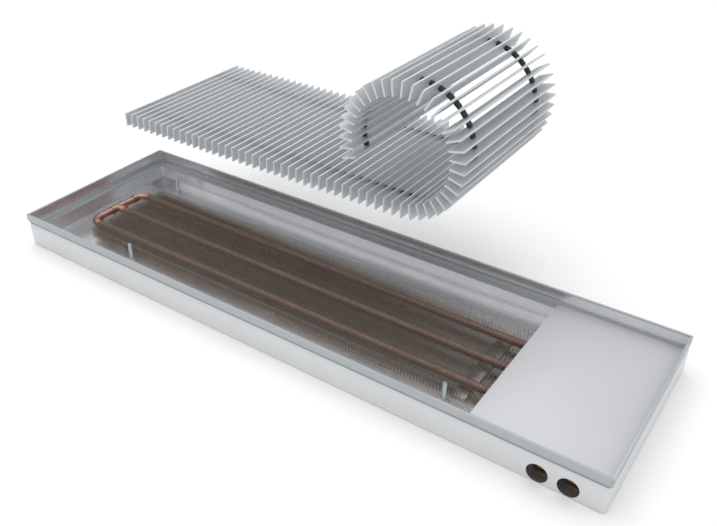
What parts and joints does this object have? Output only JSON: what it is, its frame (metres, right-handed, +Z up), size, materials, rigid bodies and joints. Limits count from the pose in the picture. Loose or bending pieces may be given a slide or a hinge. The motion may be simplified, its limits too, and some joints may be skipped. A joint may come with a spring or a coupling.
{
  "type": "trench convector heater",
  "caption": "Long shallow floor trough with a finned copper heat exchanger, a connection cover and a lifted-off, partly rolled-up slatted grille.",
  "frame": {"origin": "middle of the trough's underside, where it stands on the slab", "axes": "+X along the trough towards the connection end, +Y across it away from the pipe holes, +Z up"},
  "size_m": [1, 0.4636, 0.3615],
  "materials": {
    "coated_sheet": "light grey coated steel sheet, satin",
    "rim_aluminium": "anodised aluminium extrusion, satin, fine lines along its length",
    "cover_sheet": "pale grey coated sheet, smooth satin",
    "slat_aluminium": "anodised aluminium slat, satin",
    "sleeve_rubber": "dark grey rubber, matt",
    "tape_rubber": "grey foam rubber tape, matt",
    "fin_sheet": "thin rolled sheet, grey-brown, dull",
    "copper": "drawn copper tube, lightly dulled",
    "brass": "turned brass, satin",
    "knob_plastic": "white moulded plastic, fine matt",
    "zinc_steel": "zinc-plated steel, satin"
  },
  "bodies": {
    "trough": {"trough_floor": "coated_sheet", "trough_wall_front": "coated_sheet", "trough_wall_back": "coated_sheet", "trough_ends": "coated_sheet", "trough_corners": "coated_sheet", "rim_rail_front": "rim_aluminium", "rim_rail_back": "rim_aluminium", "rim_rail_left": "rim_aluminium", "rim_rail_right": "rim_aluminium", "grille_ledges": "rim_aluminium", "damping_tapes": "tape_rubber", "fin_pack": "fin_sheet", "exchanger_tubes": "copper", "pipe_fittings": "copper", "link_pipes": "copper", "valve_bodies": "brass", "bleed_valve_body": "brass", "exchanger_brackets": "zinc_steel", "levelling_nuts": "zinc_steel"},
    "supply_knob": {"supply_valve_knob": "knob_plastic"},
    "return_cap": {"return_valve_cap": "brass"},
    "bleed_key_screw": {"bleed_screw": "brass"},
    "levelling_1": {"levelling_screw_1": "zinc_steel"},
    "levelling_2": {"levelling_screw_2": "zinc_steel"},
    "levelling_3": {"levelling_screw_3": "zinc_steel"},
    "levelling_4": {"levelling_screw_4": "zinc_steel"},
    "cover": {"cover_plate": "cover_sheet"},
    "grille": {"grille_slats": "slat_aluminium", "grille_spacers": "sleeve_rubber"},
    "slat_01": {"rolled_slat_01": "slat_aluminium"},
    "slat_02": {"rolled_slat_02": "slat_aluminium"},
    "slat_03": {"rolled_slat_03": "slat_aluminium"},
    "slat_04": {"rolled_slat_04": "slat_aluminium"},
    "slat_05": {"rolled_slat_05": "slat_aluminium"},
    "slat_06": {"rolled_slat_06": "slat_aluminium"},
    "slat_07": {"rolled_slat_07": "slat_aluminium"},
    "slat_08": {"rolled_slat_08": "slat_aluminium"},
    "slat_09": {"rolled_slat_09": "slat_aluminium"},
    "slat_10": {"rolled_slat_10": "slat_aluminium"},
    "slat_11": {"rolled_slat_11": "slat_aluminium"},
    "slat_12": {"rolled_slat_12": "slat_aluminium"},
    "slat_13": {"rolled_slat_13": "slat_aluminium"},
    "slat_14": {"rolled_slat_14": "slat_aluminium"},
    "slat_15": {"rolled_slat_15": "slat_aluminium"},
    "slat_16": {"rolled_slat_16": "slat_aluminium"},
    "slat_17": {"rolled_slat_17": "slat_aluminium"},
    "slat_18": {"rolled_slat_18": "slat_aluminium"},
    "slat_19": {"rolled_slat_19": "slat_aluminium"},
    "slat_20": {"rolled_slat_20": "slat_aluminium"},
    "slat_21": {"rolled_slat_21": "slat_aluminium"},
    "slat_22": {"rolled_slat_22": "slat_aluminium"},
    "slat_23": {"rolled_slat_23": "slat_aluminium"},
    "slat_24": {"rolled_slat_24": "slat_aluminium"},
    "slat_25": {"rolled_slat_25": "slat_aluminium"},
    "slat_26": {"rolled_slat_26": "slat_aluminium"},
    "slat_27": {"rolled_slat_27": "slat_aluminium"},
    "slat_28": {"rolled_slat_28": "slat_aluminium"},
    "slat_29": {"rolled_slat_29": "slat_aluminium"},
    "slat_30": {"rolled_slat_30": "slat_aluminium"},
    "slat_31": {"rolled_slat_31": "slat_aluminium"}
  },
  "joints": [
    {"name": "supply_knob_turn", "type": "hinge", "parent": "trough", "child": "supply_knob", "pos_m": [0.3977, -0.106, 0.0155], "axis": [-1, 0, 0], "range_deg": [0, 330]},
    {"name": "return_cap_turn", "type": "hinge", "parent": "trough", "child": "return_cap", "pos_m": [0.4723, -0.106, 0.0155], "axis": [1, 0, 0], "range_deg": [0, 1080]},
    {"name": "bleed_screw_turn", "type": "hinge", "parent": "trough", "child": "bleed_key_screw", "pos_m": [0.3614, 0.0803, 0.0155], "axis": [0, 1, 0], "range_deg": [0, 360]},
    {"name": "levelling_screw_turn_1", "type": "hinge", "parent": "trough", "child": "levelling_1", "pos_m": [-0.322, -0.092, 0.01], "axis": [0, 0, 1], "range_deg": [0, 1800]},
    {"name": "levelling_screw_turn_2", "type": "hinge", "parent": "trough", "child": "levelling_2", "pos_m": [0.262, -0.092, 0.01], "axis": [0, 0, 1], "range_deg": [0, 1800]},
    {"name": "levelling_screw_turn_3", "type": "hinge", "parent": "trough", "child": "levelling_3", "pos_m": [-0.424, 0.11465, 0.01], "axis": [0, 0, 1], "range_deg": [0, 1800]},
    {"name": "levelling_screw_turn_4", "type": "hinge", "parent": "trough", "child": "levelling_4", "pos_m": [0.424, 0.11465, 0.01], "axis": [0, 0, 1], "range_deg": [0, 1800]},
    {"name": "cover_lift", "type": "slide", "parent": "trough", "child": "cover", "axis": [0, 0, 1], "range_m": [0, 0.026]},
    {"name": "grille_carry", "type": "slide", "parent": "trough", "child": "grille", "axis": [-0.2718, -0.826, -0.4939], "range_m": [0, 0.209]},
    {"name": "roll_hinge_01", "type": "hinge", "parent": "grille", "child": "slat_01", "pos_m": [0.1142, 0.1726, 0.1767], "axis": [0, 1, 0], "range_deg": [0, 9.25]},
    {"name": "roll_hinge_02", "type": "hinge", "parent": "slat_01", "child": "slat_02", "pos_m": [0.12802, 0.1726, 0.17895], "axis": [0, 1, 0], "range_deg": [0, 9.25]},
    {"name": "roll_hinge_03", "type": "hinge", "parent": "slat_02", "child": "slat_03", "pos_m": [0.14129, 0.1726, 0.18339], "axis": [0, 1, 0], "range_deg": [0, 9.25]},
    {"name": "roll_hinge_04", "type": "hinge", "parent": "slat_03", "child": "slat_04", "pos_m": [0.15368, 0.1726, 0.18991], "axis": [0, 1, 0], "range_deg": [0, 9.25]},
    {"name": "roll_hinge_05", "type": "hinge", "parent": "slat_04", "child": "slat_05", "pos_m": [0.16487, 0.1726, 0.19834], "axis": [0, 1, 0], "range_deg": [0, 9.25]},
    {"name": "roll_hinge_06", "type": "hinge", "parent": "slat_05", "child": "slat_06", "pos_m": [0.17455, 0.1726, 0.20845], "axis": [0, 1, 0], "range_deg": [0, 9.25]},
    {"name": "roll_hinge_07", "type": "hinge", "parent": "slat_06", "child": "slat_07", "pos_m": [0.18248, 0.1726, 0.21999], "axis": [0, 1, 0], "range_deg": [0, 9.25]},
    {"name": "roll_hinge_08", "type": "hinge", "parent": "slat_07", "child": "slat_08", "pos_m": [0.18845, 0.1726, 0.23265], "axis": [0, 1, 0], "range_deg": [0, 9.25]},
    {"name": "roll_hinge_09", "type": "hinge", "parent": "slat_08", "child": "slat_09", "pos_m": [0.19231, 0.1726, 0.24611], "axis": [0, 1, 0], "range_deg": [0, 9.25]},
    {"name": "roll_hinge_10", "type": "hinge", "parent": "slat_09", "child": "slat_10", "pos_m": [0.19395, 0.1726, 0.26001], "axis": [0, 1, 0], "range_deg": [0, 9.25]},
    {"name": "roll_hinge_11", "type": "hinge", "parent": "slat_10", "child": "slat_11", "pos_m": [0.19334, 0.1726, 0.274], "axis": [0, 1, 0], "range_deg": [0, 9.25]},
    {"name": "roll_hinge_12", "type": "hinge", "parent": "slat_11", "child": "slat_12", "pos_m": [0.19049, 0.1726, 0.2877], "axis": [0, 1, 0], "range_deg": [0, 9.25]},
    {"name": "roll_hinge_13", "type": "hinge", "parent": "slat_12", "child": "slat_13", "pos_m": [0.18547, 0.1726, 0.30077], "axis": [0, 1, 0], "range_deg": [0, 9.25]},
    {"name": "roll_hinge_14", "type": "hinge", "parent": "slat_13", "child": "slat_14", "pos_m": [0.17842, 0.1726, 0.31287], "axis": [0, 1, 0], "range_deg": [0, 9.25]},
    {"name": "roll_hinge_15", "type": "hinge", "parent": "slat_14", "child": "slat_15", "pos_m": [0.16952, 0.1726, 0.32367], "axis": [0, 1, 0], "range_deg": [0, 9.25]},
    {"name": "roll_hinge_16", "type": "hinge", "parent": "slat_15", "child": "slat_16", "pos_m": [0.15899, 0.1726, 0.3329], "axis": [0, 1, 0], "range_deg": [0, 9.25]},
    {"name": "roll_hinge_17", "type": "hinge", "parent": "slat_16", "child": "slat_17", "pos_m": [0.14712, 0.1726, 0.34032], "axis": [0, 1, 0], "range_deg": [0, 9.25]},
    {"name": "roll_hinge_18", "type": "hinge", "parent": "slat_17", "child": "slat_18", "pos_m": [0.13421, 0.1726, 0.34573], "axis": [0, 1, 0], "range_deg": [0, 9.25]},
    {"name": "roll_hinge_19", "type": "hinge", "parent": "slat_18", "child": "slat_19", "pos_m": [0.12059, 0.1726, 0.349], "axis": [0, 1, 0], "range_deg": [0, 9.25]},
    {"name": "roll_hinge_20", "type": "hinge", "parent": "slat_19", "child": "slat_20", "pos_m": [0.10663, 0.1726, 0.35004], "axis": [0, 1, 0], "range_deg": [0, 9.25]},
    {"name": "roll_hinge_21", "type": "hinge", "parent": "slat_20", "child": "slat_21", "pos_m": [0.09269, 0.1726, 0.34882], "axis": [0, 1, 0], "range_deg": [0, 9.25]},
    {"name": "roll_hinge_22", "type": "hinge", "parent": "slat_21", "child": "slat_22", "pos_m": [0.07912, 0.1726, 0.34537], "axis": [0, 1, 0], "range_deg": [0, 9.25]},
    {"name": "roll_hinge_23", "type": "hinge", "parent": "slat_22", "child": "slat_23", "pos_m": [0.06628, 0.1726, 0.33979], "axis": [0, 1, 0], "range_deg": [0, 9.25]},
    {"name": "roll_hinge_24", "type": "hinge", "parent": "slat_23", "child": "slat_24", "pos_m": [0.0545, 0.1726, 0.33222], "axis": [0, 1, 0], "range_deg": [0, 9.25]},
    {"name": "roll_hinge_25", "type": "hinge", "parent": "slat_24", "child": "slat_25", "pos_m": [0.0441, 0.1726, 0.32285], "axis": [0, 1, 0], "range_deg": [0, 9.25]},
    {"name": "roll_hinge_26", "type": "hinge", "parent": "slat_25", "child": "slat_26", "pos_m": [0.03534, 0.1726, 0.31193], "axis": [0, 1, 0], "range_deg": [0, 9.25]},
    {"name": "roll_hinge_27", "type": "hinge", "parent": "slat_26", "child": "slat_27", "pos_m": [0.02844, 0.1726, 0.29975], "axis": [0, 1, 0], "range_deg": [0, 9.25]},
    {"name": "roll_hinge_28", "type": "hinge", "parent": "slat_27", "child": "slat_28", "pos_m": [0.0236, 0.1726, 0.28661], "axis": [0, 1, 0], "range_deg": [0, 9.25]},
    {"name": "roll_hinge_29", "type": "hinge", "parent": "slat_28", "child": "slat_29", "pos_m": [0.02092, 0.1726, 0.27287], "axis": [0, 1, 0], "range_deg": [0, 9.25]},
    {"name": "roll_hinge_30", "type": "hinge", "parent": "slat_29", "child": "slat_30", "pos_m": [0.0205, 0.1726, 0.25888], "axis": [0, 1, 0], "range_deg": [0, 9.25]},
    {"name": "roll_hinge_31", "type": "hinge", "parent": "slat_30", "child": "slat_31", "pos_m": [0.02232, 0.1726, 0.24499], "axis": [0, 1, 0], "range_deg": [0, 9.25]}
  ],
  "couplings": [
    {"joint": "roll_hinge_02", "follows": "roll_hinge_01", "ratio": 1},
    {"joint": "roll_hinge_03", "follows": "roll_hinge_01", "ratio": 1},
    {"joint": "roll_hinge_04", "follows": "roll_hinge_01", "ratio": 1},
    {"joint": "roll_hinge_05", "follows": "roll_hinge_01", "ratio": 1},
    {"joint": "roll_hinge_06", "follows": "roll_hinge_01", "ratio": 1},
    {"joint": "roll_hinge_07", "follows": "roll_hinge_01", "ratio": 1},
    {"joint": "roll_hinge_08", "follows": "roll_hinge_01", "ratio": 1},
    {"joint": "roll_hinge_09", "follows": "roll_hinge_01", "ratio": 1},
    {"joint": "roll_hinge_10", "follows": "roll_hinge_01", "ratio": 1},
    {"joint": "roll_hinge_11", "follows": "roll_hinge_01", "ratio": 1},
    {"joint": "roll_hinge_12", "follows": "roll_hinge_01", "ratio": 1},
    {"joint": "roll_hinge_13", "follows": "roll_hinge_01", "ratio": 1},
    {"joint": "roll_hinge_14", "follows": "roll_hinge_01", "ratio": 1},
    {"joint": "roll_hinge_15", "follows": "roll_hinge_01", "ratio": 1},
    {"joint": "roll_hinge_16", "follows": "roll_hinge_01", "ratio": 1},
    {"joint": "roll_hinge_17", "follows": "roll_hinge_01", "ratio": 1},
    {"joint": "roll_hinge_18", "follows": "roll_hinge_01", "ratio": 1},
    {"joint": "roll_hinge_19", "follows": "roll_hinge_01", "ratio": 1},
    {"joint": "roll_hinge_20", "follows": "roll_hinge_01", "ratio": 1},
    {"joint": "roll_hinge_21", "follows": "roll_hinge_01", "ratio": 1},
    {"joint": "roll_hinge_22", "follows": "roll_hinge_01", "ratio": 1},
    {"joint": "roll_hinge_23", "follows": "roll_hinge_01", "ratio": 1},
    {"joint": "roll_hinge_24", "follows": "roll_hinge_01", "ratio": 1},
    {"joint": "roll_hinge_25", "follows": "roll_hinge_01", "ratio": 1},
    {"joint": "roll_hinge_26", "follows": "roll_hinge_01", "ratio": 1},
    {"joint": "roll_hinge_27", "follows": "roll_hinge_01", "ratio": 1},
    {"joint": "roll_hinge_28", "follows": "roll_hinge_01", "ratio": 1},
    {"joint": "roll_hinge_29", "follows": "roll_hinge_01", "ratio": 1},
    {"joint": "roll_hinge_30", "follows": "roll_hinge_01", "ratio": 1},
    {"joint": "roll_hinge_31", "follows": "roll_hinge_01", "ratio": 1}
  ]
}
